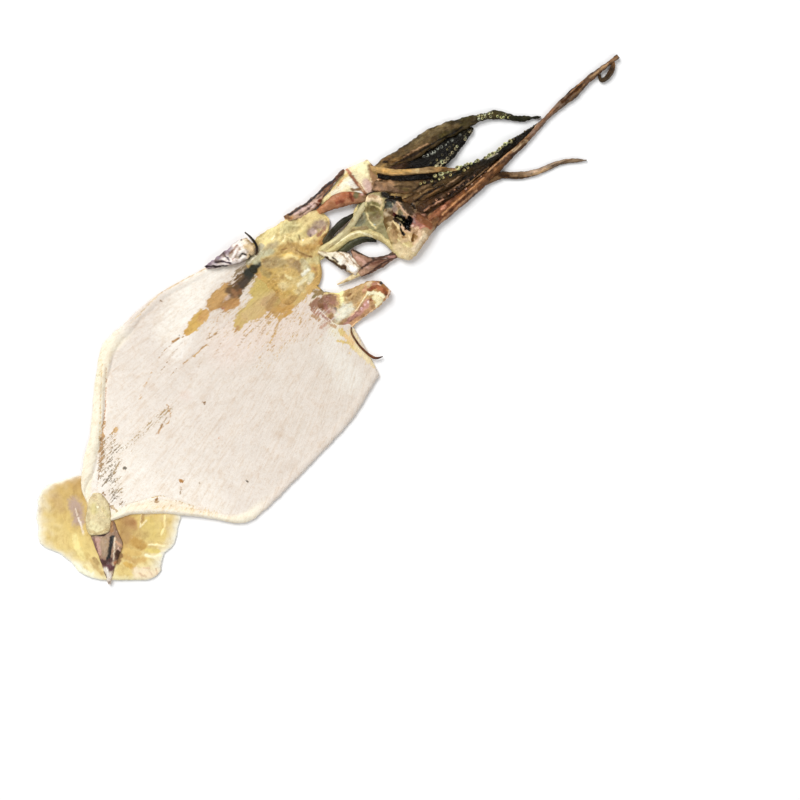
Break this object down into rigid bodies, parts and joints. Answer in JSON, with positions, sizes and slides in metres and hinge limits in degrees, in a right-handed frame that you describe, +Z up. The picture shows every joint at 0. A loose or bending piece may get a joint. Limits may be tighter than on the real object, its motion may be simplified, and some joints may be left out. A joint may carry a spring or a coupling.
{
  "type": "dried squid",
  "caption": "Whole dried squid lying flat, its split body white with bloom, amber fins turned under the tail, a torn head and a bundle of dark suckered arms.",
  "frame": {"origin": "middle of the squid's outline, on the surface it lies on", "axes": "+Y from the tail to the arm tips, +X to the right seen from above with the arms up, +Z up"},
  "size_m": [0.1395, 0.4513, 0.0082],
  "materials": {
    "dried_flesh": "dry, matt, white bloom over amber flesh",
    "amber_flesh": "thin, waxy, slightly see-through",
    "dark_skin": "dried skin, satin, brown to green-black",
    "sucker_rings": "pale horny rings, satin"
  },
  "bodies": {
    "root": {"dried_squid": "dried_flesh"}
  },
  "joints": []
}
